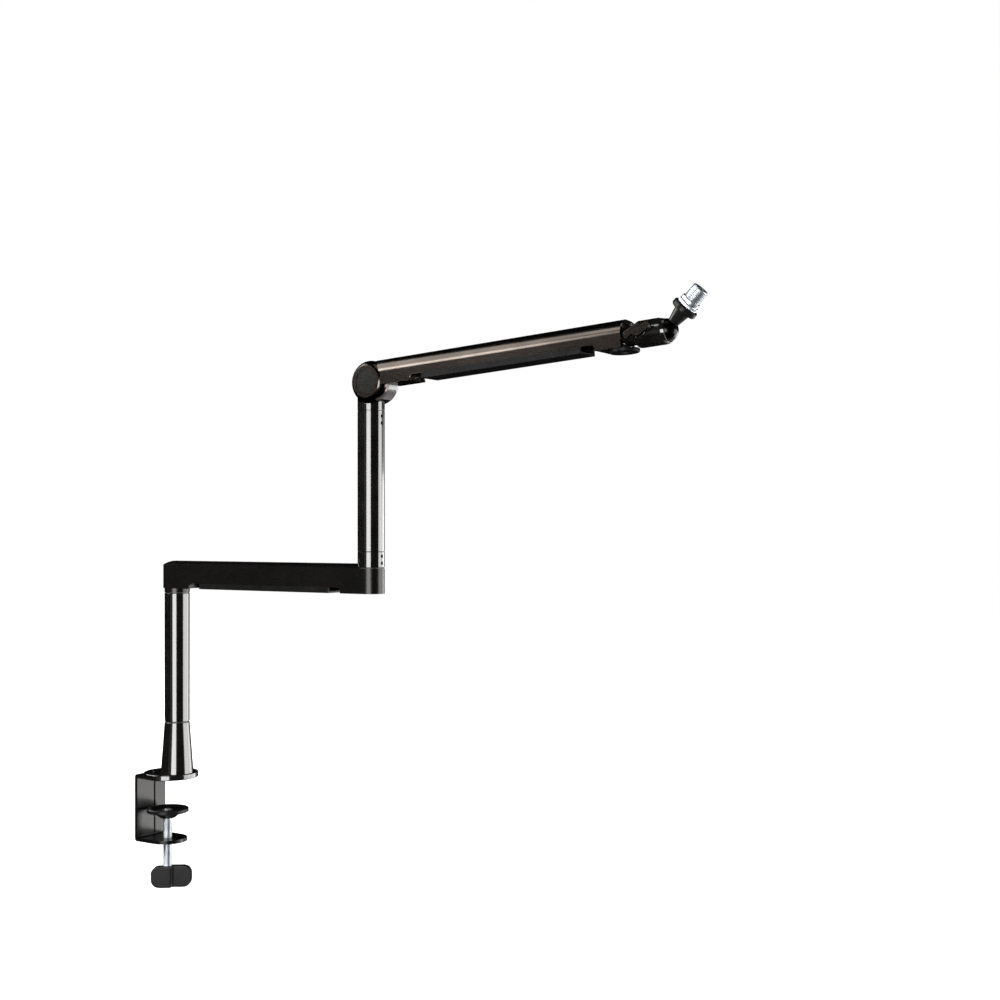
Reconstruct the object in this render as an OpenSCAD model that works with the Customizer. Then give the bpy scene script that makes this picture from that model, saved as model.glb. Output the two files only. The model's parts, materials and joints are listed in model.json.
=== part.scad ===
// Low-profile broadcast boom arm: desk clamp, two turning risers, a lower arm, a tilting upper arm with
// clip-on cable covers, and a ball head that ends in a 5/8 inch thread.
// The origin is on the riser axis, at the face that rests on the desk. +X runs along the arms, +Z is up.

/* [Tubes] */
// Outer diameter of both riser tubes
tube_d = 28; // [26:0.5:32]
// Wall of the riser tubes
tube_wall = 2; // [1.6:0.1:2.4]
// Length of each riser tube
tube_l = 145; // [100:1:220]
// Bevel at the ends of tubes and collars
tube_bevel = 0.5; // [0.2:0.1:0.8]

/* [Desk clamp] */
// Width of the clamp frame
clamp_w = 43.5; // [38:0.5:50]
// Thickness of the clamp's back plate
plate_t = 4; // [3:0.5:6]
// Thickness of both jaws
jaw_t = 4; // [3.5:0.5:6]
// Free height between the two jaws
jaw_gap = 68.5; // [60:0.5:90]
// Distance from the riser axis back to the inner face of the plate
plate_x = 41; // [38:0.1:46]
// Distance from the inner face of the plate to the clamp screw
screw_reach = 25.9; // [24:0.1:30]
// Width of the groove in the back plate
plate_groove_w = 12; // [8:0.5:16]
// Depth of the groove in the back plate
plate_groove_t = 1.2; // [0.6:0.1:2]
// Outer corner radius of the clamp frame
frame_corner_r = 3.4; // [1:0.1:3.5]
// Thickness of the rubber under the top jaw
jaw_pad_t = 1.5; // [1:0.1:3]
// Rim of bare jaw round the rubber
jaw_pad_inset = 1.5; // [0.5:0.1:3]

/* [Clamp screw] */
// Diameter of the clamp screw
screw_d = 10; // [8:0.5:12]
// Diameter of the spigot that turns in the pressure pad
spigot_d = 7; // [6:0.1:7.4]
// Desk thickness at which the screw is shown
desk_gap = 33.5; // [24:0.5:36]
// Diameter of the pressure pad
pad_d = 47; // [42:0.5:52]
// Thickness of the pressure pad's rim
pad_rim_t = 4.5; // [4:0.1:6]
// Depth of the dish in the pressure pad's top
pad_dish_t = 2.5; // [2.2:0.1:3]
// Height of the dished hub under the pad
pad_hub_h = 6.4; // [4:0.1:8]
// Diameter of the hub where it leaves the pad
pad_hub_d = 34; // [26:0.5:36]
// Diameter of the hub at the screw
pad_hub_end_d = 17; // [13:0.5:18]
// Thickness of the retaining clip on the spigot
clip_t = 0.9; // [0.6:0.1:1.2]
// Outer diameter of the retaining clip
clip_d = 12; // [10:0.5:13]
// Free screw between the pressure pad's hub and the knob
screw_free_l = 54.9; // [50:0.1:75]
// Width across the knob's two wings
knob_w = 44.8; // [38:0.5:56]
// Height of the knob
knob_h = 24.6; // [20:0.1:30]
// Thickness of each wing
knob_t = 8; // [5:0.1:9]
// Sideways step between the two wings
knob_step = 5; // [3:0.1:6]
// How far the wings' middle lies from the screw's axis
knob_shift = 4.4; // [0:0.1:6]
// Corner radius of the wings
knob_r = 9; // [5:0.5:10]
// Diameter of the knob's boss
knob_boss_d = 13; // [13:0.5:16]
// Turn of the knob about the screw
knob_angle = 33; // [0:1:175]

/* [Base] */
// Diameter of the round flange
flange_d = 60.6; // [56:0.1:64]
// Height of the flange's rim
flange_h = 6.1; // [4:0.1:6.4]
// Height of the flange's top above the jaw
flange_web = 3; // [1.2:0.1:3.6]
// Distance of the flange's centre behind the riser axis
flange_back = 9.6; // [8:0.1:11]
// Round edge of the flange
flange_edge_r = 0.8; // [0.4:0.1:1.2]
// Diameter of the socket's foot
socket_foot_d = 36.4; // [32:0.5:38]
// Height of the tapered socket
socket_h = 57.5; // [54:0.1:70]
// Thickness of solid metal at the socket's foot
socket_floor = 16; // [14:0.5:20]
// Diameter of the riser spigots
spigot_post_d = 20; // [18:0.1:21]
// Wall of the plain bushes
bush_wall = 1.5; // [1:0.1:2]
// Length of the bushes in the socket
bush_l = 10; // [8:0.5:14]
// Thickness of thrust flanges and thrust washers
thrust_t = 1; // [0.8:0.1:1.5]
// How far thrust washers lie inside the tube's outline
thrust_inset = 0.8; // [0.5:0.1:1.5]
// Diameter of the bolt under the socket
base_bolt_d = 8; // [6:0.5:8]
// Head diameter of the bolt under the socket
base_bolt_head_d = 15.6; // [12:0.1:16]
// Distance from the plate to the two flange screws
flange_screw_reach = 15; // [11:0.1:17]
// Distance between the two flange screws
flange_screw_pitch = 19; // [16:0.5:24]
// Diameter of the flange screws
flange_screw_d = 3; // [3:0.5:4]
// Head diameter of the flange screws
flange_screw_head_d = 5.6; // [5:0.1:7]
// Head height of the flange screws
flange_screw_head_h = 1.6; // [1.2:0.1:2.2]

/* [Lower arm] */
// Distance between the two riser axes
lower_arm_l = 278; // [230:1:340]
// Height of the lower arm's sides
lower_arm_h = 26; // [24:0.5:32]
// How far the rounded left end lies behind the first riser axis
lower_arm_back = 2; // [0:0.5:5]
// Wall of the lower arm
lower_arm_wall = 2.5; // [2:0.1:3]
// Height of the ring under the lower arm
under_ring_h = 4.7; // [3:0.1:8]
// Height of the domed top cover in the middle
crown_h = 5; // [4:0.1:7]
// Height of the top cover at its edges
crown_edge_h = 0.6; // [0.4:0.1:1]
// Length of each cable exit
cable_exit_l = 16; // [10:0.5:20]
// Corner radius of the cable exits
exit_corner_r = 4; // [2:0.5:4.5]
// Height of the cable covers' sides
cover_h = 6; // [5:0.1:8]
// Distance from the first riser axis to the first cable exit
lower_exit_x = 32; // [28:0.5:40]
// Floor thickness of the cable covers
cover_floor = 2; // [1.5:0.1:3]
// Thickness of the cover's snap tongues
tongue_t = 1.2; // [0.8:0.1:1.4]
// Height of the snap tongues above the cover's sides
tongue_h = 3; // [2:0.1:5]
// Diameter of the pivot posts inside the arm
post_d = 16; // [14:0.1:16]
// Wall of the bushes round the pivot posts
post_bush_wall = 2; // [1.5:0.1:2]
// Length of the bushes round the pivot posts
post_bush_l = 14; // [10:0.5:15]
// Diameter of the bolts that hold the pivots together
pivot_bolt_d = 8; // [6:0.5:8]
// Diameter of the pivot washers
pivot_washer_d = 21; // [19.5:0.1:22]
// Thickness of the pivot washers
pivot_washer_t = 1.6; // [1.2:0.1:2]
// Height of bolt heads and nuts in the pivots
pivot_nut_h = 5; // [4:0.1:5.2]
// Width across flats of bolt heads and nuts in the pivots
pivot_nut_w = 13; // [10:0.5:13]
// Diameter of the cap under the lower arm's end
swivel_cap_d = 23; // [22:0.1:24]
// Thickness of the cap under the lower arm's end
swivel_cap_t = 1.8; // [1.2:0.1:2]

/* [Collar] */
// Height of the collar under the upper tube
collar_h = 16.3; // [14:0.1:24]
// Diameter of the grub screws
grub_d = 4; // [3:0.5:5]
// Length of the grub screws
grub_l = 5; // [4:0.1:6]
// Distance between the two grub screws of a pair
grub_pitch = 7.1; // [6:0.1:8]
// Height of the lower grub screw above the collar's foot
collar_grub_z = 4.6; // [4:0.1:6]
// Distance of the upper grub screw below the tube's top
tube_grub_z = 6; // [4:0.1:10]

/* [Elbow] */
// Diameter of the elbow's barrel
barrel_d = 44; // [40:0.5:50]
// Distance from the middle plane to the riser's face of the barrel
barrel_back_y = 15.2; // [14.5:0.1:17]
// Round edge of the riser's face of the barrel
barrel_edge_r = 5.3; // [3:0.1:6]
// Distance from the middle plane to the arm's face of the barrel
barrel_face_y = 15.2; // [14.5:0.1:17]
// Depth over which the arm's face of the barrel rounds off
face_edge_t = 9.2; // [6:0.1:9.6]
// Radius of the rounding at the arm's face of the barrel
face_edge_r = 10.4; // [9.8:0.1:13]
// Distance from the middle plane to the seam between the two hubs
seam_y = 4; // [3:0.1:6]
// Forward offset of the elbow axis from the upper tube
elbow_offset = 4.5; // [3:0.1:6]
// Height of the elbow axis above the upper tube
elbow_rise = 28.8; // [27:0.1:36]
// Diameter of the caps in the barrel's faces
elbow_cap_d = 25; // [24:0.1:26]
// Thickness of the caps in the barrel's faces
elbow_cap_t = 1.5; // [1:0.1:2]
// Diameter of the recess round the elbow bolt's nut
elbow_recess_d = 20; // [18:0.1:22]
// Diameter of the friction disc between the hubs
friction_disc_d = 34; // [30:0.5:38]
// Thickness of the friction disc between the hubs
friction_disc_t = 1.2; // [0.8:0.1:1.6]
// Thickness of each disc spring
disc_spring_t = 0.9; // [0.6:0.1:1.2]

/* [Upper arm] */
// Width of the upper arm
upper_arm_w = 28; // [26:0.5:32]
// Height of the upper arm
upper_arm_h = 27.1; // [24:0.1:30]
// Length of the upper arm from the elbow axis
upper_arm_l = 293.3; // [240:1:360]
// Wall of the upper arm
upper_arm_wall = 2; // [1.6:0.1:2.6]
// Tilt of the upper arm as shown
arm_tilt = 3.9; // [-20:0.1:30]
// Distance from the elbow axis to the first cable exit
upper_exit_u = 54; // [50:0.5:70]
// Length of the solid tongue that fills the arm at the elbow
hub_tongue_l = 52; // [48:0.5:56]
// Length of the end block inside the arm
end_block_l = 26.6; // [24:0.1:26.8]

/* [Head] */
// Distance from the arm's end back to the head's pivot pin
pin_inset = 3.3; // [2.5:0.1:4]
// Diameter of the pivot pin
pin_d = 8; // [6:0.1:9]
// Thickness of the disc under the arm that carries the pin's foot
ear_t = 3.5; // [2.5:0.1:5]
// Thickness of the upper ear at the pin
upper_ear_t = 2.8; // [2.2:0.1:3.6]
// How far the head swivels to each side
head_turn = 25; // [15:1:30]
// Diameter of the head's boss on the pivot pin
pin_boss_d = 14; // [12:0.1:16]
// Height of the head's axis above the elbow axis line
head_v = 6; // [5:0.1:7]
// Diameter of the head's body
head_d = 25.2; // [25:0.1:28]
// Distance from the pivot pin to the seam at the head's shoulder
shoulder_reach = 18; // [17:0.1:19]
// Radius of the head's rounded shoulder
shoulder_r = 4; // [2:0.1:5]
// Distance from the pivot pin to the ball
ball_reach = 43.4; // [42:0.1:50]
// Distance from the pivot pin to the lever's screw
lever_reach = 22; // [21:0.1:23]
// Height of the lever's screw above the head's axis
lever_rise = 2; // [0:0.1:3]
// Gap between the two halves of the head
split_gap = 0.8; // [0.5:0.1:1.2]
// Diameter of the ball
ball_d = 22; // [20:0.1:22.4]
// Wall of the ball's seat
seat_wall = 0.6; // [0.5:0.1:0.8]
// Distance from the ball's centre back to the rim of its seat
seat_reach = 6.5; // [6:0.1:8]
// Width of the notch in the mouth's top, in which the neck can stand upright
notch_w = 12.2; // [11.8:0.1:13]
// Distance from the ball's centre to the rim of its mouth
mouth_reach = 2.6; // [2.2:0.1:3]
// Thickness of the rim that keeps the ball in
mouth_lip = 1; // [0.8:0.1:1.2]
// Diameter of the lever's screw
lever_screw_d = 6; // [5:0.5:6]
// Diameter of the lever's hub
lever_hub_d = 11; // [10:0.1:12]
// Thickness of the lever's hub
lever_hub_t = 6; // [5:0.1:8]
// Length across the lever's two blades
lever_l = 28; // [24:0.1:28]
// Width of each blade
lever_blade_w = 6.2; // [5:0.1:7]
// Thickness of each blade
lever_blade_t = 4; // [3:0.1:5]
// Sideways step between the two blades
lever_step = 3; // [2:0.1:4]
// Tilt of the lever against the arm as shown
lever_tilt = 22; // [0:5:60]

/* [Stud] */
// Tilt of the stud against the head's axis as shown
stud_tilt = 41.7; // [0:0.1:44]
// Diameter of the neck at the ball
neck_d = 10.4; // [9:0.1:10.6]
// Diameter of the neck at the flange
neck_end_d = 16; // [13:0.1:18]
// Distance from the ball's centre to the stud's flange
stud_flange_reach = 22.9; // [19:0.1:26]
// Thickness of the stud's flange
stud_flange_t = 5.8; // [4:0.1:8]
// Diameter of the stud's flange
stud_flange_d = 24.9; // [22:0.1:27]
// Diameter of the stud's shank inside the ball
shank_d = 6; // [5:0.1:7]
// Diameter of the stud's 3/8 inch thread
stud_thread_d = 9.52; // [9:0.01:10]
// Diameter of the 5/8 inch thread
mic_thread_d = 15.88; // [15:0.01:16.5]
// Length of the 5/8 inch thread
mic_thread_l = 13; // [10:0.1:18]
// Diameter of the adapter's lower ring
adapter_ring_d = 20; // [18:0.1:22]
// Diameter of the adapter's upper ring
adapter_step_d = 18.8; // [17:0.1:20]
// Thickness of each adapter ring
adapter_ring_t = 3.5; // [2:0.1:5]
// Fine groove between the adapter's rings
adapter_groove = 0.5; // [0.3:0.1:0.8]

/* [Fits] */
// Radial clearance of parts that turn in one another
run_gap = 0.05; // [0.03:0.01:0.08]
// Radial clearance of parts that are fixed in one another
seat_gap = 0.03; // [0.01:0.01:0.05]
// Clearance between a cover and its opening
cover_gap = 0.2; // [0.1:0.05:0.4]
// Clearance between faces that swing past each other
swing_gap = 0.3; // [0.2:0.05:0.5]

/* [Hidden] */
$fn = 96;
cut = 1;
tube_r = tube_d / 2;
tube_bore_r = tube_r - tube_wall;
thrust_r = tube_r - thrust_inset;

clamp_x = -plate_x + screw_reach;
jaw_r = clamp_w / 2;
jaw_top_z = jaw_pad_t + jaw_t;
low_jaw_z = jaw_pad_t - jaw_gap;
inner_corner_r = 1;
pad_z = -desk_gap;
pad_dish_r = pad_d / 2 - 3.5;
hub_z = pad_z - pad_rim_t - pad_hub_h;
knob_top_z = hub_z - screw_free_l;
screw_in_knob = knob_h - 5;

flange_top_z = jaw_top_z + flange_web;
socket_top_z = flange_top_z + socket_h;
socket_bore_z = flange_top_z + socket_floor;
spigot_r = spigot_post_d / 2;
socket_bore_r = spigot_r + bush_wall;
flange_screw_x = -plate_x + flange_screw_reach;
flange_screw_y = flange_screw_pitch / 2;

tube_a_z = socket_top_z + thrust_t;
tube_a_top = tube_a_z + tube_l;
plug_l = 20;
ring_z = tube_a_top + thrust_t;
arm_z = ring_z + under_ring_h;
arm_top_z = arm_z + lower_arm_h;
arm_roof_z = arm_top_z - lower_arm_wall;
post_r = post_d / 2;
post_hole_r = post_r + post_bush_wall;
bolt_r = pivot_bolt_d / 2;
pivot_bolt_l = 14;
post_bush_z = arm_z;
post_top_z = post_bush_z + post_bush_l;
pocket_r = pivot_washer_d / 2 + 0.5;
cavity_start = post_hole_r + 13;
cavity_end = lower_arm_l - post_hole_r - 12;
lower_exit_end = lower_arm_l + 2 - lower_exit_x;
crown_screw_d = 3;
crown_screw_x = [cavity_start + 12, (cavity_start + cavity_end) / 2, cavity_end - 12];

collar_z = arm_top_z + thrust_t;
tube_b_z = collar_z + collar_h;
tube_b_top = tube_b_z + tube_l;
swivel_bush_z = arm_top_z - post_bush_l;

elbow_x = lower_arm_l + elbow_offset;
elbow_z = tube_b_top + elbow_rise;
barrel_r = barrel_d / 2;
elbow_recess_r = elbow_recess_d / 2;
elbow_web = 4;
arm_v = barrel_r - upper_arm_h;
arch_r = upper_arm_w / 2;
arch_v = barrel_r - arch_r;
cavity_w = upper_arm_w - 2 * upper_arm_wall;
exit_margin = 0.7;
upper_exit_end = upper_arm_l - end_block_l - exit_margin;
shell_start_u = 7;

pin_u = upper_arm_l - pin_inset;
ear_low_v = arm_v;
ear_high_v = barrel_r - upper_arm_wall - upper_ear_t;
pin_r = pin_d / 2;
head_r = head_d / 2;
pin_top_v = arch_v + sqrt(pow(arch_r - upper_arm_wall, 2) - pin_r * pin_r) - 2 * swing_gap;
neck_r = cavity_w / 2 * cos(head_turn) - pin_inset * sin(head_turn) - swing_gap;
neck_pocket_r = neck_r / cos(head_turn) + swing_gap;
knuckle_low = ear_low_v - head_v + swing_gap;
knuckle_high = ear_high_v - head_v - swing_gap;
dome_reach = ball_reach - 2.4;
seam_w = 0.4;
seam_t = 0.3;
block_screw_u = upper_arm_l - end_block_l + 5;
ball_r = ball_d / 2;
neck_z = ball_r * 0.84;
seat_r = ball_r + run_gap;
seat_out_r = seat_r + seat_wall;
cup_r = seat_out_r + run_gap;
head_flat_y = head_r - 1.4;

adapter_z = stud_flange_reach + stud_flange_t;
mic_thread_z = adapter_z + 2 * adapter_ring_t;
adapter_top_z = mic_thread_z + mic_thread_l;

BLACK = [0.07, 0.065, 0.06];
ARM_BROWN = [0.16, 0.14, 0.13];
GLOSS = [0.04, 0.04, 0.04];
ZINC = [0.78, 0.8, 0.82];
STEEL = [0.6, 0.6, 0.62];
NYLON = [0.85, 0.84, 0.8];
RUBBER = [0.08, 0.08, 0.08];

// Local frames: the upper arm, the head's pivot pin, the ball and the stud.
module at_elbow() translate([elbow_x, 0, elbow_z]) rotate([0, -arm_tilt, 0]) children();
module at_pin() at_elbow() translate([pin_u, 0, head_v]) children();
module at_ball() at_pin() translate([ball_reach, 0, 0]) children();
module at_stud() at_ball() rotate([0, 90 - stud_tilt, 0]) children();
module at_lever() at_pin() translate([lever_reach, 0, lever_rise]) rotate([90, 0, 0]) children();

// A plain round bar between two heights.
module bar(r, z0, z1) translate([0, 0, z0]) cylinder(r = r, h = z1 - z0);

// A ring between two heights.
module ring(ro, ri, z0, z1) difference() {
    bar(ro, z0, z1);
    bar(ri, z0 - cut, z1 + cut);
}

// A bar along +Y between two distances.
module bar_y(r, y0, y1) rotate([-90, 0, 0]) bar(r, y0, y1);

// A hexagon nut or bolt head between two heights, given its width across flats.
module hexagon(flats, z0, z1)
    translate([0, 0, z0]) cylinder(r = flats / 2 / cos(30), h = z1 - z0, $fn = 6);

// A round piece with both ends bevelled.
module bevelled_bar(r, z0, z1, e) rotate_extrude()
    polygon([[0, z0], [r - e, z0], [r, z0 + e], [r, z1 - e], [r - e, z1], [0, z1]]);

// A flat rectangle with round corners.
module round_rect(x0, x1, y0, y1, r) {
    translate([x0 + r, y0]) square([x1 - x0 - 2 * r, y1 - y0]);
    translate([x0, y0 + r]) square([x1 - x0, y1 - y0 - 2 * r]);
    for (x = [x0 + r, x1 - r], y = [y0 + r, y1 - r]) translate([x, y]) circle(r);
}

// A stadium between two points of the X axis.
module stadium(x0, x1, r) {
    translate([x0, -r]) square([x1 - x0, 2 * r]);
    for (x = [x0, x1]) translate([x, 0]) circle(r);
}

// The opening along an arm for the cable exits and the cover between them, with round upper corners.
module exit_slot(x0, x1, z) translate([0, tube_d, z]) rotate([90, 0, 0]) linear_extrude(2 * tube_d) {
    r = exit_corner_r;
    translate([x0 + r, -cut]) square([x1 - x0 - 2 * r, cover_h + cut]);
    translate([x0, -cut]) square([x1 - x0, cover_h - r + cut]);
    for (x = [x0 + r, x1 - r]) translate([x, cover_h - r]) circle(r);
}

// A cable cover: floor, two sides flush with the arm, and snap tongues that grip the channel's walls.
module cable_cover(x0, x1, w, wall) {
    translate([x0, -w / 2, 0]) cube([x1 - x0, w, cover_floor]);
    tongue_end = 4;
    for (s = [0, 1]) mirror([0, s, 0]) {
        translate([x0, w / 2 - wall, 0]) cube([x1 - x0, wall, cover_h]);
        translate([x0 + tongue_end, w / 2 - wall - cover_gap - tongue_t, 0])
            cube([x1 - x0 - 2 * tongue_end, tongue_t, cover_h + tongue_h]);
        translate([x0 + tongue_end, w / 2 - wall - cover_gap - tongue_t, 0])
            cube([x1 - x0 - 2 * tongue_end, tongue_t + cover_gap + wall, cover_floor]);
    }
}

// Desk clamp

module jaw_outline(grow) {
    translate([-plate_x - plate_t, -jaw_r - grow])
        square([plate_t + screw_reach, clamp_w + 2 * grow]);
    translate([clamp_x, 0]) circle(jaw_r + grow);
}

module clamp_frame() color(BLACK) difference() {
    intersection() {
        translate([0, 0, low_jaw_z - jaw_t])
            linear_extrude(jaw_gap + 2 * jaw_t) jaw_outline(0);
        translate([0, jaw_r, 0]) rotate([90, 0, 0]) linear_extrude(clamp_w) difference() {
            round_rect(-plate_x - plate_t, plate_x, low_jaw_z - jaw_t, jaw_top_z, frame_corner_r);
            round_rect(-plate_x, 2 * plate_x, low_jaw_z, jaw_pad_t, inner_corner_r);
        }
    }
    translate([-plate_x - plate_groove_t, -plate_groove_w / 2, low_jaw_z + inner_corner_r])
        cube([2 * plate_groove_t, plate_groove_w, jaw_gap - 2 * inner_corner_r]);
    translate([clamp_x, 0, 0]) bar(screw_d / 2 + run_gap, low_jaw_z - jaw_t - cut, low_jaw_z + cut);
    at_flange_screws() bar(flange_screw_d / 2 + seat_gap, 0, jaw_top_z + cut);
    bar(base_bolt_d / 2 + seat_gap, 0, jaw_top_z + cut);
    translate([0, 0, jaw_pad_t]) csk_head(seat_gap);
    translate([0, 0, jaw_pad_t - cut]) cylinder(r = base_bolt_head_d / 2 + seat_gap, h = cut);
}

// The countersunk head of the bolt under the socket.
module csk_head(grow) cylinder(r1 = base_bolt_head_d / 2 + grow, r2 = base_bolt_d / 2 + grow,
    h = (base_bolt_head_d - base_bolt_d) / 2);

module jaw_pad() color(RUBBER) linear_extrude(jaw_pad_t) {
    translate([-plate_x + jaw_pad_inset, -jaw_r + jaw_pad_inset])
        square([screw_reach - jaw_pad_inset, clamp_w - 2 * jaw_pad_inset]);
    translate([clamp_x, 0]) circle(jaw_r - jaw_pad_inset);
}

// Base

module base_flange() color(GLOSS) difference() {
    translate([-flange_back, 0, flange_top_z - flange_h]) rotate_extrude() {
        square([flange_d / 2 - flange_edge_r, flange_h]);
        translate([0, flange_edge_r]) square([flange_d / 2, flange_h - 2 * flange_edge_r]);
        for (z = [flange_edge_r, flange_h - flange_edge_r])
            translate([flange_d / 2 - flange_edge_r, z]) circle(flange_edge_r);
    }
    translate([0, 0, flange_top_z - flange_h - cut])
        linear_extrude(flange_h - flange_web + cut) jaw_outline(cover_gap);
    bar(base_bolt_d / 2 + seat_gap, 0, flange_top_z + cut);
    at_flange_screws() bar(flange_screw_d / 2 + seat_gap, 0, flange_top_z + cut);
}

module at_flange_screws() for (y = [-flange_screw_y, flange_screw_y])
    translate([flange_screw_x, y, 0]) children();

module flange_screws() color(GLOSS) at_flange_screws() {
    bar(flange_screw_d / 2, jaw_pad_t + 0.3, flange_top_z);
    difference() {
        bevelled_head(flange_screw_head_d / 2, flange_top_z, flange_screw_head_h);
        hexagon(flange_screw_d * 0.6, flange_top_z + flange_screw_head_h / 2, flange_top_z + 9);
    }
}

// A button head: a round rim that falls away to a small flat top.
module bevelled_head(r, z, h) rotate_extrude()
    polygon([[0, z], [r, z], [r, z + 0.3 * h], [0.86 * r, z + 0.72 * h], [0.55 * r, z + h], [0, z + h]]);

module base_bolt() color(STEEL) difference() {
    union() {
        translate([0, 0, jaw_pad_t]) csk_head(0);
        bar(base_bolt_d / 2, jaw_pad_t, socket_bore_z - 2.5);
    }
    hexagon(base_bolt_d * 0.6, jaw_pad_t - cut, jaw_pad_t + 2.5);
}

module base_socket() color(GLOSS) difference() {
    rotate_extrude() polygon([[0, flange_top_z], [socket_foot_d / 2, flange_top_z],
        [tube_r, socket_top_z - tube_bevel], [tube_r - tube_bevel, socket_top_z], [0, socket_top_z]]);
    bar(socket_bore_r + seat_gap, socket_bore_z, socket_top_z + cut);
    bar(base_bolt_d / 2 + seat_gap, flange_top_z - cut, socket_bore_z + cut);
}

module socket_bush_lower() color(NYLON)
    ring(socket_bore_r, spigot_r + run_gap, socket_bore_z, socket_bore_z + bush_l);

module socket_bush_upper() color(NYLON) difference() {
    union() {
        bar(socket_bore_r, socket_top_z - bush_l, socket_top_z);
        bar(thrust_r, socket_top_z, socket_top_z + thrust_t);
    }
    bar(spigot_r + run_gap, socket_top_z - bush_l - cut, tube_a_z + cut);
}

// Clamp screw

module pressure_pad() color(BLACK) translate([clamp_x, 0, 0]) difference() {
    union() {
        bevelled_bar(pad_d / 2, pad_z - pad_rim_t, pad_z, 0.6);
        translate([0, 0, hub_z])
            cylinder(r1 = pad_hub_end_d / 2, r2 = pad_hub_d / 2, h = pad_hub_h);
    }
    translate([0, 0, pad_z - pad_dish_t])
        cylinder(r1 = pad_dish_r - pad_dish_t, r2 = pad_dish_r, h = pad_dish_t);
    bar(pad_dish_r, pad_z, pad_z + cut);
    bar(spigot_d / 2 + run_gap, hub_z - cut, pad_z);
}

module clamp_screw() color(ZINC) translate([clamp_x, 0, 0]) {
    bar(screw_d / 2, knob_top_z - screw_in_knob, hub_z);
    difference() {
        bar(spigot_d / 2, hub_z, pad_z - pad_dish_t + clip_t + 0.8);
        translate([0, 0, pad_z - pad_dish_t])
            ring(spigot_d, spigot_d / 2 - 0.6, 0, clip_t);
    }
}

module pad_clip() color(STEEL) translate([clamp_x, 0, pad_z - pad_dish_t]) difference() {
    bar(clip_d / 2, 0, clip_t);
    bar(spigot_d / 2 - 0.6 + seat_gap, -cut, clip_t + cut);
    translate([0, -1.5, -cut]) cube([clip_d, 3, clip_t + 2 * cut]);
}

// The T knob: two wings that pass each other, with the screw's boss off their middle.
module clamp_knob() color(GLOSS) translate([clamp_x, 0, knob_top_z - knob_h]) rotate([0, 0, knob_angle])
    difference() {
        union() {
            translate([knob_shift, 0, 0]) for (turn = [0, 180]) rotate([0, 0, turn])
                translate([0, knob_step / 2 + knob_t / 2, 0]) rotate([90, 0, 0])
                    linear_extrude(knob_t) wing_outline();
            bar(knob_boss_d / 2, 0, knob_h);
        }
        bar(screw_d / 2 + seat_gap, knob_h - screw_in_knob, knob_h + cut);
    }

module wing_outline() intersection() {
    round_rect(-knob_w / 2, knob_w / 2, 0, knob_h, knob_r);
    square([knob_w, knob_h]);
}

// Lower riser

module riser_tube(z0) difference() {
    bevelled_bar(tube_r, z0, z0 + tube_l, tube_bevel);
    bar(tube_bore_r, z0 - cut, z0 + tube_l + cut);
}

module lower_riser_tube() color(GLOSS) riser_tube(tube_a_z);

module riser_foot() color(STEEL) {
    bar(spigot_r, socket_bore_z + 1, tube_a_z);
    bar(tube_bore_r - seat_gap, tube_a_z, tube_a_z + plug_l);
}

module riser_head_post() color(STEEL) difference() {
    union() {
        bar(tube_bore_r - seat_gap, tube_a_top - plug_l, tube_a_top);
        bar(post_r, tube_a_top, post_top_z + run_gap);
    }
    bar(bolt_r + seat_gap, post_top_z - pivot_bolt_l - 2, post_top_z + cut);
}

module arm_retaining_washer() color(STEEL)
    ring(pivot_washer_d / 2, bolt_r + seat_gap, post_top_z + run_gap, post_top_z + run_gap + pivot_washer_t);

module arm_retaining_bolt() color(STEEL) {
    head_z = post_top_z + run_gap + pivot_washer_t;
    bar(bolt_r, post_top_z - pivot_bolt_l, head_z);
    hexagon(pivot_nut_w, head_z, head_z + pivot_nut_h);
}

// Lower arm

module arm_plan(r) stadium(-lower_arm_back, lower_arm_l, r);

module lower_arm_shell() color(BLACK) difference() {
    union() {
        translate([0, 0, arm_z]) linear_extrude(lower_arm_h) arm_plan(tube_r);
        bar(tube_r, ring_z, arm_z);
    }
    translate([cavity_start, -tube_r + lower_arm_wall, arm_z - cut])
        cube([cavity_end - cavity_start, tube_d - 2 * lower_arm_wall, arm_roof_z - arm_z + cut]);
    exit_slot(lower_exit_x, lower_exit_end, arm_z);
    bar(post_hole_r + seat_gap, ring_z - cut, post_top_z);
    bar(pocket_r, post_top_z, arm_top_z + cut);
    translate([lower_arm_l, 0, 0]) {
        bar(post_hole_r + seat_gap, swivel_bush_z, arm_top_z + cut);
        bar(pocket_r, arm_z + swivel_cap_t, swivel_bush_z);
        bar(swivel_cap_d / 2 + seat_gap, arm_z - cut, arm_z + swivel_cap_t);
    }
    for (x = crown_screw_x) translate([x, 0, 0])
        bar(crown_screw_d / 2 + seat_gap, arm_roof_z - cut, arm_top_z + cut);
}

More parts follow.
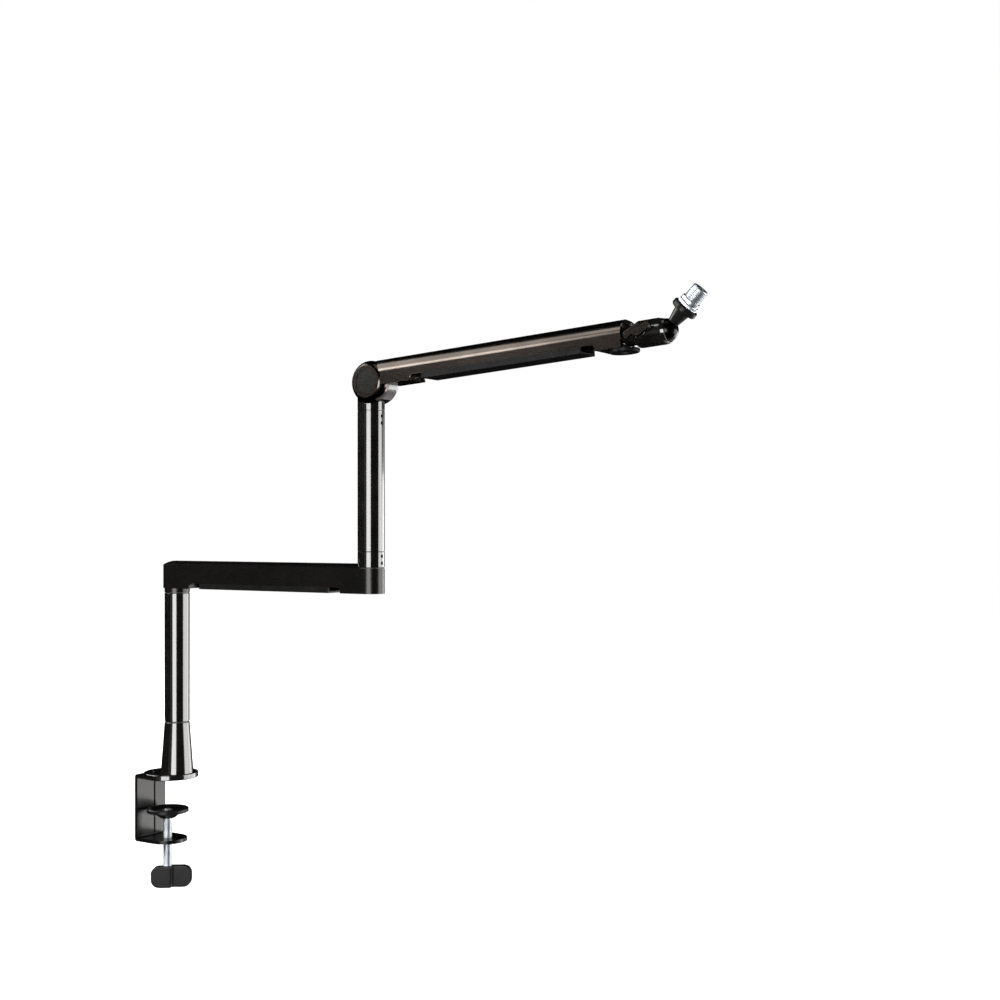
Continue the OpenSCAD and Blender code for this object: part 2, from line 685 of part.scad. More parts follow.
// The domed top cover: an arc across the arm that runs out round its left end and stops at the collar.
module lower_arm_top_cover() color(BLACK) {
    rise = crown_h - crown_edge_h;
    dome_r = (tube_r * tube_r + rise * rise) / (2 * rise);
    difference() {
        intersection() {
            translate([0, 0, arm_top_z]) linear_extrude(crown_h + cut) arm_plan(tube_r);
            union() {
                translate([-lower_arm_back, 0, arm_top_z + crown_h - dome_r]) rotate([0, 90, 0])
                    cylinder(r = dome_r, h = lower_arm_l + lower_arm_back);
                translate([-lower_arm_back, 0, arm_top_z + crown_h - dome_r]) sphere(dome_r);
            }
        }
        translate([lower_arm_l, 0, 0]) bar(tube_r + swing_gap, arm_top_z - cut, arm_top_z + 2 * crown_h);
        translate([lower_arm_l, -tube_d, arm_top_z - cut]) cube([tube_d, 2 * tube_d, 3 * crown_h]);
        for (x = crown_screw_x) translate([x, 0, 0])
            bar(crown_screw_d / 2 + seat_gap, arm_top_z - cut, arm_top_z + crown_h - 1);
    }
}

module top_cover_screws() color(STEEL) for (x = crown_screw_x) translate([x, 0, 0]) {
    head_h = 1.8;
    bar(crown_screw_d / 2, arm_roof_z, arm_top_z + crown_h - 1.3);
    difference() {
        bar(crown_screw_d, arm_roof_z - head_h, arm_roof_z);
        hexagon(crown_screw_d * 0.6, arm_roof_z - head_h - cut, arm_roof_z - head_h / 2);
    }
}

module arm_bush() color(NYLON) ring(post_hole_r, post_r + run_gap, post_bush_z, post_top_z);

module arm_thrust_washer() color(NYLON) ring(thrust_r, post_r + run_gap, tube_a_top, ring_z);

module swivel_bush() color(NYLON) translate([lower_arm_l, 0, 0])
    ring(post_hole_r, post_r + run_gap, swivel_bush_z, arm_top_z);

module swivel_cap() color(RUBBER) translate([lower_arm_l, 0, 0])
    bar(swivel_cap_d / 2, arm_z, arm_z + swivel_cap_t);

module lower_cable_cover() color(GLOSS) translate([0, 0, arm_z])
    cable_cover(lower_exit_x + cable_exit_l, lower_exit_end - cable_exit_l, tube_d, lower_arm_wall);

// Upper riser

module swivel_post() color(STEEL) translate([lower_arm_l, 0, 0]) difference() {
    union() {
        bar(bolt_r, arm_z + swivel_cap_t + 0.6, swivel_bush_z - run_gap);
        bar(post_r, swivel_bush_z - run_gap, collar_z);
        bar(tube_bore_r - seat_gap, collar_z, tube_b_z + plug_l);
    }
    grub_pair(collar_z + collar_grub_z) bar(grub_d / 2 + seat_gap, tube_r - grub_l - 0.5, tube_r);
}

module swivel_thrust_washer() color(NYLON) translate([lower_arm_l, 0, 0])
    ring(thrust_r, post_r + run_gap, arm_top_z, collar_z);

module swivel_washer() color(STEEL) translate([lower_arm_l, 0, 0])
    ring(pivot_washer_d / 2, bolt_r + seat_gap, swivel_bush_z - run_gap - pivot_washer_t,
        swivel_bush_z - run_gap);

module swivel_nut() color(STEEL) translate([lower_arm_l, 0, 0]) difference() {
    top = swivel_bush_z - run_gap - pivot_washer_t;
    hexagon(pivot_nut_w, top - pivot_nut_h, top);
    bar(bolt_r + seat_gap, top - pivot_nut_h - cut, top + cut);
}

// Two radial holes or screws above one another, on the side that faces along the arm.
module grub_pair(z) for (n = [0, 1]) translate([0, 0, z + n * grub_pitch]) rotate([0, 90, 0]) children();

module grub_screws(z) grub_pair(z) difference() {
    bar(grub_d / 2, tube_r - grub_l - 0.3, tube_r - 0.3);
    hexagon(grub_d / 2, tube_r - 2, tube_r);
}

module riser_collar() color(GLOSS) translate([lower_arm_l, 0, 0]) difference() {
    bevelled_bar(tube_r, collar_z, tube_b_z, tube_bevel);
    bar(tube_bore_r, collar_z - cut, tube_b_z + cut);
    grub_pair(collar_z + collar_grub_z) bar(grub_d / 2 + seat_gap, 0, tube_r + cut);
}

module collar_screws() color(GLOSS) translate([lower_arm_l, 0, 0]) grub_screws(collar_z + collar_grub_z);

module upper_riser_tube() color(GLOSS) translate([lower_arm_l, 0, 0]) difference() {
    riser_tube(tube_b_z);
    grub_pair(tube_b_top - tube_grub_z - grub_pitch) bar(grub_d / 2 + seat_gap, 0, tube_r + cut);
}

module tube_screws() color(GLOSS) translate([lower_arm_l, 0, 0])
    grub_screws(tube_b_top - tube_grub_z - grub_pitch);

// Elbow

// Part of the elbow's barrel, about the elbow axis: from y0 to the face at y1, where the last edge_t
// of its length rounds off with the radius edge_r. grow makes it larger all over.
module hub(y0, y1, edge_t, edge_r, grow = 0) rotate([-90, 0, 0]) translate([0, 0, y0]) rotate_extrude() {
    straight = y1 - y0 - edge_t;
    square([barrel_r + grow, straight]);
    square([barrel_r - edge_r, y1 - y0 + grow]);
    translate([barrel_r - edge_r, straight]) intersection() {
        circle(edge_r + grow);
        square([edge_r + grow, edge_t + grow]);
    }
}

// The riser's half: a plug in the tube, a neck, and the far part of the barrel.
module elbow_yoke() color(GLOSS) difference() {
    union() {
        translate([lower_arm_l, 0, 0]) {
            bar(tube_bore_r - seat_gap, tube_b_top - plug_l, tube_b_top);
            difference() {
                bar(tube_r, tube_b_top, elbow_z);
                translate([0, 0, tube_b_top]) ring(tube_d, tube_r - tube_bevel, -cut, tube_bevel);
            }
        }
        translate([elbow_x, 0, elbow_z]) hub(-seam_y, barrel_back_y, barrel_edge_r, barrel_edge_r);
    }
    translate([elbow_x, 0, elbow_z]) {
        bar_y(barrel_r + swing_gap, -tube_d, -seam_y);
        bar_y(friction_disc_d / 2 + seat_gap, -seam_y - cut, -seam_y + friction_disc_t / 2);
        bar_y(bolt_r + seat_gap, -tube_d, tube_d);
        bar_y(elbow_recess_r, -seam_y + friction_disc_t / 2 + elbow_web, tube_d);
        bar_y(elbow_cap_d / 2 + seat_gap, barrel_back_y - elbow_cap_t, tube_d);
    }
    translate([lower_arm_l, 0, 0]) grub_pair(tube_b_top - tube_grub_z - grub_pitch)
        bar(grub_d / 2 + seat_gap, tube_r - grub_l - 0.5, tube_r);
    // The arm's root swings through the front of the neck above the barrel's middle.
    translate([elbow_x, 0, elbow_z]) difference() {
        translate([0, -tube_d, 0]) cube([tube_d, 2 * tube_d, tube_d]);
        bar_y(barrel_r, -tube_d - cut, tube_d + cut);
    }
}

module at_elbow_axis() translate([elbow_x, 0, elbow_z]) rotate([-90, 0, 0]) children();

elbow_head_y = elbow_web - seam_y + friction_disc_t / 2;
elbow_nut_h = 3.6;
near_recess_y = -barrel_face_y + elbow_cap_t + elbow_nut_h + 2 * disc_spring_t + 0.6;
elbow_nut_y = near_recess_y - 2 * disc_spring_t - elbow_nut_h;
module elbow_bolt() color(STEEL) at_elbow_axis() {
    bar(bolt_r, elbow_nut_y - 0.2, elbow_head_y);
    hexagon(pivot_nut_w, elbow_head_y, elbow_head_y + pivot_nut_h);
}

// Two disc springs on one another: a wide face against the hub and a narrow face under the nut.
module disc_springs() color(STEEL) at_elbow_axis() difference() {
    translate([0, 0, near_recess_y - 2 * disc_spring_t]) {
        bar(elbow_recess_r - 3, 0, disc_spring_t);
        bar(elbow_recess_r - 1, disc_spring_t, 2 * disc_spring_t);
    }
    bar(bolt_r + seat_gap, -tube_d, tube_d);
}

module elbow_nut() color(STEEL) at_elbow_axis() difference() {
    hexagon(pivot_nut_w, elbow_nut_y, elbow_nut_y + elbow_nut_h);
    bar(bolt_r + seat_gap, -tube_d, tube_d);
}

module elbow_back_cap() color(GLOSS) at_elbow_axis()
    bar(elbow_cap_d / 2, barrel_back_y - elbow_cap_t, barrel_back_y - 0.3);

module friction_disc() color(RUBBER) at_elbow_axis()
    ring(friction_disc_d / 2, bolt_r + run_gap, -seam_y - friction_disc_t / 2, -seam_y + friction_disc_t / 2);

// The arm's half: the near part of the barrel and the tongue that fills the root of the arm.
module elbow_hub() color(ARM_BROWN) at_elbow() difference() {
    union() {
        mirror([0, 1, 0]) hub(seam_y + swing_gap, barrel_face_y, face_edge_t, face_edge_r);
        intersection() {
            arm_solid(0, hub_tongue_l, upper_arm_wall + seat_gap);
            union() {
                translate([0, -tube_d, -tube_d]) cube([tube_d * 3, tube_d - seam_y - swing_gap, 3 * tube_d]);
                difference() {
                    translate([0, -tube_d, -tube_d]) cube([tube_d * 3, 2 * tube_d, 3 * tube_d]);
                    bar_y(barrel_r + swing_gap, -tube_d - cut, tube_d + cut);
                }
            }
        }
    }
    bar_y(friction_disc_d / 2 + run_gap, -seam_y - friction_disc_t / 2, tube_d);
    bar_y(bolt_r + bush_wall + seat_gap, -tube_d, tube_d);
    bar_y(elbow_recess_r, -tube_d, near_recess_y);
    bar_y(elbow_cap_d / 2 + seat_gap, -tube_d, -barrel_face_y + elbow_cap_t);
    for (u = tongue_screw_u) translate([u, 0, arm_v]) bar(crown_screw_d / 2 + seat_gap, -cut, 8);
}

module elbow_bush() color(NYLON) at_elbow_axis()
    ring(bolt_r + bush_wall, bolt_r + run_gap, near_recess_y, -seam_y - friction_disc_t / 2);

module elbow_cap() color(ARM_BROWN) at_elbow_axis()
    bar(elbow_cap_d / 2, -barrel_face_y + 0.4, -barrel_face_y + elbow_cap_t);

// Upper arm

// The arm's outline seen along it: straight sides and a half-round top, drawn in by a wall.
module arch(wall) {
    r = arch_r - wall;
    translate([0, arch_v]) circle(r);
    translate([-r, arm_v]) square([2 * r, arch_v - arm_v]);
}

// A length of the arch, along the upper arm.
module arm_solid(u0, u1, wall) translate([u0, 0, 0]) rotate([90, 0, 90]) linear_extrude(u1 - u0) arch(wall);

tongue_screw_u = [34, 46];
module upper_arm_shell() color(ARM_BROWN) at_elbow() difference() {
    arm_solid(shell_start_u, upper_arm_l, 0);
    arm_solid(shell_start_u - cut, upper_arm_l + cut, upper_arm_wall);
    translate([0, -tube_d, arm_v - cut]) cube([upper_arm_l * 2, 2 * tube_d, cut]);
    bar_y(barrel_r + swing_gap, -seam_y - swing_gap, tube_d);
    mirror([0, 1, 0]) hub(seam_y, barrel_face_y, face_edge_t, face_edge_r, cover_gap);
    exit_slot(upper_exit_u, upper_exit_end, arm_v);
}

module tongue_screws() color(STEEL) at_elbow() for (u = tongue_screw_u) translate([u, 0, arm_v])
    difference() {
        bar(crown_screw_d / 2, 0.4, 7.5);
        hexagon(crown_screw_d / 2, 0, 1.8);
    }

module upper_cable_cover() color(GLOSS) at_elbow() translate([0, 0, arm_v])
    cable_cover(upper_exit_u + cable_exit_l - 1, upper_exit_end - cable_exit_l + 1, upper_arm_w, upper_arm_wall);

// The end block closes the arm. It carries the head's pivot pin between a domed ear and a round disc.
module end_block() color(GLOSS) at_elbow() difference() {
    union() {
        arm_solid(upper_arm_l - end_block_l, upper_arm_l + cut, upper_arm_wall + seat_gap);
        intersection() {
            translate([pin_u, 0, arch_v]) sphere(arch_r);
            translate([upper_arm_l, -tube_d, ear_high_v]) cube([tube_d, 2 * tube_d, tube_d]);
        }
        translate([pin_u, 0, 0]) bevelled_bar(arch_r, arm_v - ear_t, arm_v, tube_bevel);
    }
    translate([pin_u, 0, 0]) {
        bar(neck_pocket_r, ear_low_v, ear_high_v);
        translate([0, -tube_d, ear_low_v]) cube([tube_d, 2 * tube_d, ear_high_v - ear_low_v]);
        bar(pin_r + seat_gap, arm_v - 2 * ear_t, pin_top_v + swing_gap / 2);
    }
    translate([block_screw_u, 0, arm_v]) bar(crown_screw_d / 2 + seat_gap, -cut, 9);
}

module end_block_screw() color(STEEL) at_elbow() translate([block_screw_u, 0, arm_v]) difference() {
    bar(crown_screw_d / 2, 0.4, 8.5);
    hexagon(crown_screw_d / 2, 0, 1.8);
}

module pivot_pin() color(ZINC) at_elbow() translate([pin_u, 0, 0])
    bevelled_bar(pin_r, arm_v - ear_t + 0.3, pin_top_v, 0.3);

// Ball head

// The head's outline from the pin to the mouth: a round-ended neck, a round shoulder with a fine seam,
// and a body that draws in towards the mouth.
module head_profile() difference() {
    union() {
        circle(neck_r);
        square([neck_r, shoulder_reach]);
        translate([0, shoulder_reach]) square([head_r, dome_reach - shoulder_reach]);
        translate([0, shoulder_reach - shoulder_r]) square([head_r - shoulder_r, shoulder_r]);
        translate([head_r - shoulder_r, shoulder_reach]) circle(shoulder_r);
        translate([0, dome_reach]) circle(head_r);
    }
    translate([-tube_d, -tube_d]) square([tube_d, 4 * tube_d]);
    translate([head_r - seam_t, shoulder_reach]) square([tube_d, seam_w]);
    translate([0, ball_reach + mouth_reach]) square(tube_d);
}

// The half space behind a plane across the head's axis.
module behind(x) translate([x - tube_d, -tube_d, -tube_d]) cube([tube_d, 2 * tube_d, 2 * tube_d]);

// The outside of the whole head, with its pin boss and its bores.
module head_outside() difference() {
    union() {
        bar(pin_boss_d / 2, knuckle_low, knuckle_high);
        rotate([0, 90, 0]) rotate_extrude() head_profile();
    }
    bar(pin_r + run_gap, knuckle_low - cut, knuckle_high + cut);
    translate([ball_reach, 0, 0]) {
        intersection() {
            sphere(seat_r);
            behind(mouth_reach - mouth_lip);
        }
        intersection() {
            sphere(cup_r);
            behind(-seat_reach);
        }
        rotate([0, 90, 0]) bar(ball_r - 0.08, 0, tube_d);
        linear_extrude(tube_d) stadium(0, tube_d, notch_w / 2);
    }
    translate([lever_reach, 0, lever_rise]) {
        bar_y(lever_screw_d / 2 + seat_gap, -tube_d, tube_d);
        bar_y(lever_hub_d / 2 + 1, head_flat_y, tube_d);
        bar_y(lever_hub_d / 2 + 1, -tube_d, -head_flat_y);
    }
}

module head_shell(side) at_pin() intersection() {
    head_outside();
    mirror([0, side, 0]) translate([-tube_d, split_gap / 2, -tube_d]) cube([4 * tube_d, tube_d, 2 * tube_d]);
}

module head_shell_near() color(GLOSS) head_shell(1);
module head_shell_far() color(GLOSS) head_shell(0);

module lever_screw() color(ZINC) at_lever() {
    bar(lever_screw_d / 2, -head_flat_y, head_flat_y + thrust_t + lever_hub_t - 1);
    bevelled_bar(lever_hub_d / 2 - 0.5, -head_flat_y - 3, -head_flat_y, 0.5);
}

module lever_washer() color(STEEL) at_lever()
    ring(lever_hub_d / 2, lever_screw_d / 2 + seat_gap, head_flat_y, head_flat_y + thrust_t);

// The wing lever: a round hub and two flat blades that pass each other.
module wing_lever() color(ARM_BROWN) at_lever() translate([0, 0, head_flat_y + thrust_t])
    rotate([0, 0, lever_tilt]) difference() {
        union() {
            bar(lever_hub_d / 2, 0, lever_hub_t);
            for (turn = [0, 180]) rotate([0, 0, turn])
                translate([0, lever_step / 2, lever_hub_t - lever_blade_t])
                    linear_extrude(lever_blade_t) polygon([
                        [2, -lever_blade_w / 2], [-lever_l / 2 + 3, -lever_blade_w / 2],
                        [-lever_l / 2, -lever_blade_w / 2 + 2.5], [-lever_l / 2 + 1, lever_blade_w / 2 - 1],
                        [-lever_l / 2 + 3, lever_blade_w / 2], [-1, lever_blade_w / 2]]);
        }
        bar(lever_screw_d / 2 + run_gap, -cut, lever_hub_t - 0.8);
    }

// A cup between two spheres, behind the ball.
module ball_seat() color(NYLON) at_ball() difference() {
    intersection() {
        sphere(seat_out_r);
        behind(-seat_reach - run_gap);
    }
    sphere(seat_r);
}

// The stud's tapered neck, from its seat in the ball to the flange.
module stud_neck(grow) translate([0, 0, neck_z])
    cylinder(r1 = neck_d / 2 + grow, r2 = neck_end_d / 2 + grow, h = stud_flange_reach - neck_z);

module ball() color(GLOSS) at_stud() difference() {
    sphere(ball_r);
    bar(shank_d / 2 + run_gap, -ball_d, ball_d);
    bar(shank_d / 2 + 1, -ball_d, -ball_r + 4);
    stud_neck(run_gap);
}

module ball_stud() color(GLOSS) at_stud() difference() {
    union() {
        bar(shank_d / 2, -ball_r + 4, neck_z);
        stud_neck(0);
        bevelled_bar(stud_flange_d / 2, stud_flange_reach, adapter_z, 1);
        bar(stud_thread_d / 2, adapter_z, adapter_top_z - 1.5);
    }
    bar(1.25, -ball_r, 2);
}

module stud_screw() color(STEEL) at_stud() {
    bar(1.22, -ball_r + 4, 1.5);
    bar(shank_d / 2 + 0.9, -ball_r + 2.4, -ball_r + 4);
}

module thread_adapter() color(ZINC) at_stud() difference() {
    union() {
        bevelled_bar(adapter_ring_d / 2, adapter_z, adapter_z + adapter_ring_t, 0.3);
        bevelled_bar(adapter_step_d / 2, adapter_z + adapter_ring_t + adapter_groove, mic_thread_z, 0.3);
        bar(adapter_step_d / 2 - 1, adapter_z + adapter_ring_t, mic_thread_z);
        bar(mic_thread_d / 2, mic_thread_z, adapter_top_z);
    }
    bar(stud_thread_d / 2 + seat_gap, adapter_z - cut, adapter_top_z + cut);
}

clamp_frame();
jaw_pad();
base_flange();
flange_screws();
base_bolt();
base_socket();
socket_bush_lower();
socket_bush_upper();
pressure_pad();
clamp_screw();
pad_clip();
clamp_knob();
lower_riser_tube();
riser_foot();
riser_head_post();
arm_retaining_washer();
arm_retaining_bolt();
lower_arm_shell();
lower_arm_top_cover();
top_cover_screws();
arm_bush();
arm_thrust_washer();
swivel_bush();
swivel_cap();
lower_cable_cover();
swivel_post();
swivel_thrust_washer();
swivel_washer();
swivel_nut();
riser_collar();
collar_screws();
upper_riser_tube();
tube_screws();
elbow_yoke();
elbow_bolt();
disc_springs();
elbow_nut();
elbow_back_cap();
friction_disc();
elbow_hub();
elbow_bush();
elbow_cap();
upper_arm_shell();
tongue_screws();
upper_cable_cover();
end_block();
end_block_screw();
pivot_pin();
head_shell_near();
head_shell_far();
lever_screw();
lever_washer();
wing_lever();
ball_seat();
ball();
ball_stud();
stud_screw();
thread_adapter();
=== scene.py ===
"""Looks of a low-profile microphone boom arm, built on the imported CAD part."""
import json
import math

import bmesh
import bpy
from mathutils import Matrix, Vector


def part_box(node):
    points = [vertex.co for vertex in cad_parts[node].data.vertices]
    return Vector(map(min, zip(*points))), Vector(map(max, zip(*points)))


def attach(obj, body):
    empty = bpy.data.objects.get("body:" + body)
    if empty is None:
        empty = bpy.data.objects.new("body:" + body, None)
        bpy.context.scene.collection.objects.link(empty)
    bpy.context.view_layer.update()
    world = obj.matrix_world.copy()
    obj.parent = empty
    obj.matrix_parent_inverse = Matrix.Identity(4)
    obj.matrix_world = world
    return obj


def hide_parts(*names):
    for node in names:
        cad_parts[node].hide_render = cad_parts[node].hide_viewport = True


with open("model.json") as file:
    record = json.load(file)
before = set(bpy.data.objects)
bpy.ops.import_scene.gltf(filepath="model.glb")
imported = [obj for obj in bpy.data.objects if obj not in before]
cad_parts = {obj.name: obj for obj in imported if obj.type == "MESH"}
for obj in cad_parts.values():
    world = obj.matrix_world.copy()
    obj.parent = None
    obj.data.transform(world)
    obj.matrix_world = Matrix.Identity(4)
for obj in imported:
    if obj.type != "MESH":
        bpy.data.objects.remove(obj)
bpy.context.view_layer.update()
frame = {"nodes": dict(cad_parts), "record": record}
nodes = frame["nodes"]
mounts = {m["name"]: m for m in frame["record"]["mounts"]}
MM = 0.001


# Camera: a 51.5 mm lens at the height of the lower arm, level, seen from the front right.
def make_camera():
    data = bpy.data.cameras.new("camera")
    data.sensor_width = 36.0
    data.lens = 51.54
    data.shift_y = 0.0306
    data.clip_start = 0.05
    data.clip_end = 20.0
    data.dof.use_dof = False
    camera = bpy.data.objects.new("camera", data)
    bpy.context.collection.objects.link(camera)
    camera.location = (1.1877, -1.1689, 0.2827)
    camera.rotation_euler = (math.radians(90), 0, math.radians(32.75))
    bpy.context.scene.camera = camera


make_camera()
bpy.context.scene.view_settings.view_transform = "Standard"


# Materials

def linear(text):
    """A linear colour from six hex digits."""
    out = []
    for i in (0, 2, 4):
        c = int(text[i:i + 2], 16) / 255
        out.append(c / 12.92 if c <= 0.04045 else ((c + 0.055) / 1.055) ** 2.4)
    return (*out, 1.0)


def add(tree, kind, **inputs):
    """A new node; inputs are set by name, from a value or from another node's output."""
    node = tree.nodes.new(kind)
    for name, value in inputs.items():
        socket = node.inputs[name.replace("_", " ")]
        if isinstance(value, bpy.types.NodeSocket):
            tree.links.new(value, socket)
        else:
            socket.default_value = value
    return node


def new_material(name):
    material = bpy.data.materials.new(name)
    material.use_nodes = True
    tree = material.node_tree
    shader = tree.nodes["Principled BSDF"]
    return material, tree, shader


def object_point(tree, stretch=(1, 1, 1)):
    """The place on the object in metres, scaled along each axis."""
    coords = add(tree, "ShaderNodeTexCoord")
    mapping = add(tree, "ShaderNodeMapping", Vector=coords.outputs["Object"], Scale=stretch)
    return mapping.outputs["Vector"]


def noise(tree, point, size_mm, detail=2.0, rough=0.5):
    """Noise whose features are size_mm wide."""
    return add(tree, "ShaderNodeTexNoise", Vector=point, Scale=1 / (size_mm * MM), Detail=detail,
               Roughness=rough)


def spread(tree, value, low, high):
    """value, between 0 and 1, turned into a number from low to high."""
    node = add(tree, "ShaderNodeMapRange", Value=value)
    node.inputs["To Min"].default_value = low
    node.inputs["To Max"].default_value = high
    return node.outputs["Result"]


def tint(tree, value, low, high, start=0.35, end=0.65):
    """A colour between two hex colours, by value."""
    ramp = add(tree, "ShaderNodeValToRGB", Fac=value)
    ramp.color_ramp.elements[0].position = start
    ramp.color_ramp.elements[1].position = end
    ramp.color_ramp.elements[0].color = linear(low)
    ramp.color_ramp.elements[1].color = linear(high)
    return ramp.outputs["Color"]


def bump(tree, shader, height, depth_mm, strength=1.0):
    node = add(tree, "ShaderNodeBump", Height=height, Distance=depth_mm * MM, Strength=strength)
    tree.links.new(node.outputs["Normal"], shader.inputs["Normal"])


def gloss_black():
    """Piano-black lacquer on metal: a faint orange peel under a clear coat, with fine handling haze."""
    material, tree, shader = new_material("gloss_black_lacquer")
    point = object_point(tree)
    peel = noise(tree, point, 1.6, 2.0)
    haze = noise(tree, point, 22.0, 4.0)
    tree.links.new(tint(tree, haze.outputs["Fac"], "0d0c0b", "131211"), shader.inputs["Base Color"])
    tree.links.new(spread(tree, haze.outputs["Fac"], 0.10, 0.20), shader.inputs["Roughness"])
    shader.inputs["Metallic"].default_value = 0.35
    shader.inputs["Coat Weight"].default_value = 0.8
    shader.inputs["Coat Roughness"].default_value = 0.06
    bump(tree, shader, peel.outputs["Fac"], 0.004, 0.5)
    return material


def satin_metal(name, dark, light, rough, grain_axis, metallic):
    """Bead-blasted and anodised aluminium with a faint grain along the extrusion."""
    material, tree, shader = new_material(name)
    stretch = [1.0, 1.0, 1.0]
    stretch[grain_axis] = 0.04
    grain = noise(tree, object_point(tree, stretch), 0.5, 2.0)
    fine = noise(tree, object_point(tree), 0.25, 1.0)
    patch = noise(tree, object_point(tree), 40.0, 3.0)
    tree.links.new(tint(tree, patch.outputs["Fac"], dark, light), shader.inputs["Base Color"])
    tree.links.new(spread(tree, grain.outputs["Fac"], rough - 0.05, rough + 0.06), shader.inputs["Roughness"])
    shader.inputs["Metallic"].default_value = metallic
    bump(tree, shader, fine.outputs["Fac"], 0.006, 0.5)
    return material


def plastic(name, dark, light, rough, grain_mm, depth_mm):
    """Moulded plastic with a fine spark texture."""
    material, tree, shader = new_material(name)
    point = object_point(tree)
    grain = noise(tree, point, grain_mm, 2.0)
    patch = noise(tree, point, 18.0, 3.0)
    tree.links.new(tint(tree, patch.outputs["Fac"], dark, light), shader.inputs["Base Color"])
    tree.links.new(spread(tree, grain.outputs["Fac"], rough - 0.04, rough + 0.06), shader.inputs["Roughness"])
    shader.inputs["Specular IOR Level"].default_value = 0.12
    bump(tree, shader, grain.outputs["Fac"], depth_mm, 0.6)
    return material


PEBBLE_MM = 0.9


def rubber():
    """Matte rubber with a pebbled skin and a little dust in it."""
    material, tree, shader = new_material("matte_rubber")
    point = object_point(tree)
    cells = add(tree, "ShaderNodeTexVoronoi", Vector=point, Scale=1 / (PEBBLE_MM * MM))
    dust = noise(tree, point, 9.0, 4.0)
    tree.links.new(tint(tree, dust.outputs["Fac"], "151514", "232221"), shader.inputs["Base Color"])
    shader.inputs["Roughness"].default_value = 0.78
    shader.inputs["Specular IOR Level"].default_value = 0.35
    bump(tree, shader, cells.outputs["Distance"], 0.05, 0.5)
    return material


def bare_metal(name, dark, light, rough, grain_mm=0.4, lines=(1, 1, 1)):
    """Bare or plated metal with fine turning marks."""
    material, tree, shader = new_material(name)
    marks = noise(tree, object_point(tree, lines), grain_mm, 3.0)
    patch = noise(tree, object_point(tree), 12.0, 3.0)
    tree.links.new(tint(tree, patch.outputs["Fac"], dark, light), shader.inputs["Base Color"])
    tree.links.new(spread(tree, marks.outputs["Fac"], rough - 0.06, rough + 0.08), shader.inputs["Roughness"])
    shader.inputs["Metallic"].default_value = 1.0
    bump(tree, shader, marks.outputs["Fac"], 0.004, 0.4)
    return material


def nylon():
    """Black acetal: a faint waxy sheen and shallow turning marks."""
    material, tree, shader = new_material("black_acetal")
    cloud = noise(tree, object_point(tree), 6.0, 3.0)
    marks = noise(tree, object_point(tree), 0.4, 2.0)
    tree.links.new(tint(tree, cloud.outputs["Fac"], "161615", "1e1e1d"), shader.inputs["Base Color"])
    tree.links.new(spread(tree, marks.outputs["Fac"], 0.38, 0.48), shader.inputs["Roughness"])
    bump(tree, shader, marks.outputs["Fac"], 0.01, 0.4)
    return material


def lining():
    """Pressed friction lining: brown resin with short bright fibres."""
    material, tree, shader = new_material("friction_lining")
    fibre = noise(tree, object_point(tree, (1, 0.3, 1)), 0.7, 4.0, 0.7)
    tree.links.new(tint(tree, fibre.outputs["Fac"], "2b241e", "6a5a48"), shader.inputs["Base Color"])
    shader.inputs["Roughness"].default_value = 0.85
    bump(tree, shader, fibre.outputs["Fac"], 0.04, 0.7)
    return material


FINISH = {
    "satin_black": satin_metal("satin_black_anodised", "0c0b0a", "12100f", 0.25, 0, 0.6),
    "gloss_black": gloss_black(),
    "arm_brown_black": satin_metal("brown_black_anodised", "3e3935", "48423d", 0.18, 0, 1.0),
    "black_plastic": plastic("black_moulded_plastic", "0b0b0b", "111110", 0.26, 0.35, 0.008),
    "rubber": rubber(),
    "friction_lining": lining(),
    "nylon": nylon(),
    "bright_zinc": bare_metal("bright_zinc_plate", "aeb3b8", "c6cbce", 0.42),
    "steel": bare_metal("turned_steel", "86878a", "a3a4a7", 0.34),
    "dark_steel": bare_metal("black_oxide_steel", "161617", "1f1f20", 0.22),
}
slot_of = {row["node"]: row["material_slot"] for row in frame["record"]["subparts"]}
# Pieces that are duller than their neighbours: the cap in the elbow's face, the ball's stud and the end block.
DULLER = {"elbow_cap": "satin_black", "ball_stud": "black_plastic", "end_block": "black_plastic"}

for name, obj in nodes.items():
    finish = FINISH[DULLER.get(name, slot_of[name])]
    if not obj.material_slots:
        obj.data.materials.append(finish)
    for slot in obj.material_slots:
        slot.material = finish


# Detail pieces: each stands for a CAD node and keeps its place and size.

# Edges of threads and knurls sharper than this many degrees stay crisp.
CRISP = 35


def make_object(name, slot, verts, faces, smooth):
    """A new piece from points and faces, welded and with its faces turned outwards."""
    mesh = bpy.data.meshes.new(name)
    mesh.from_pydata(verts, [], faces)
    bm = bmesh.new()
    bm.from_mesh(mesh)
    bmesh.ops.remove_doubles(bm, verts=bm.verts, dist=0.002 * MM)
    bmesh.ops.dissolve_degenerate(bm, edges=bm.edges, dist=0.001 * MM)
    bmesh.ops.recalc_face_normals(bm, faces=bm.faces)
    bm.to_mesh(mesh)
    bm.free()
    mesh.materials.append(FINISH[slot])
    obj = bpy.data.objects.new(name, mesh)
    bpy.context.collection.objects.link(obj)
    shade(obj, smooth)
    return obj


def shade(obj, degrees):
    """Smooth faces, with edges sharper than this kept crisp."""
    mesh = obj.data
    mesh.shade_smooth()
    mesh.set_sharp_from_angle(angle=math.radians(degrees))


def frame_from(origin, axis):
    """The transform that puts local +Z on an axis of the part through a point."""
    z = Vector(axis).normalized()
    y = Vector((0, 1, 0)) if abs(z.y) < 0.9 else Vector((1, 0, 0))
    x = y.cross(z).normalized()
    y = z.cross(x)
    turn = Matrix((x, y, z)).transposed().to_4x4()
    return Matrix.Translation(Vector(origin)) @ turn


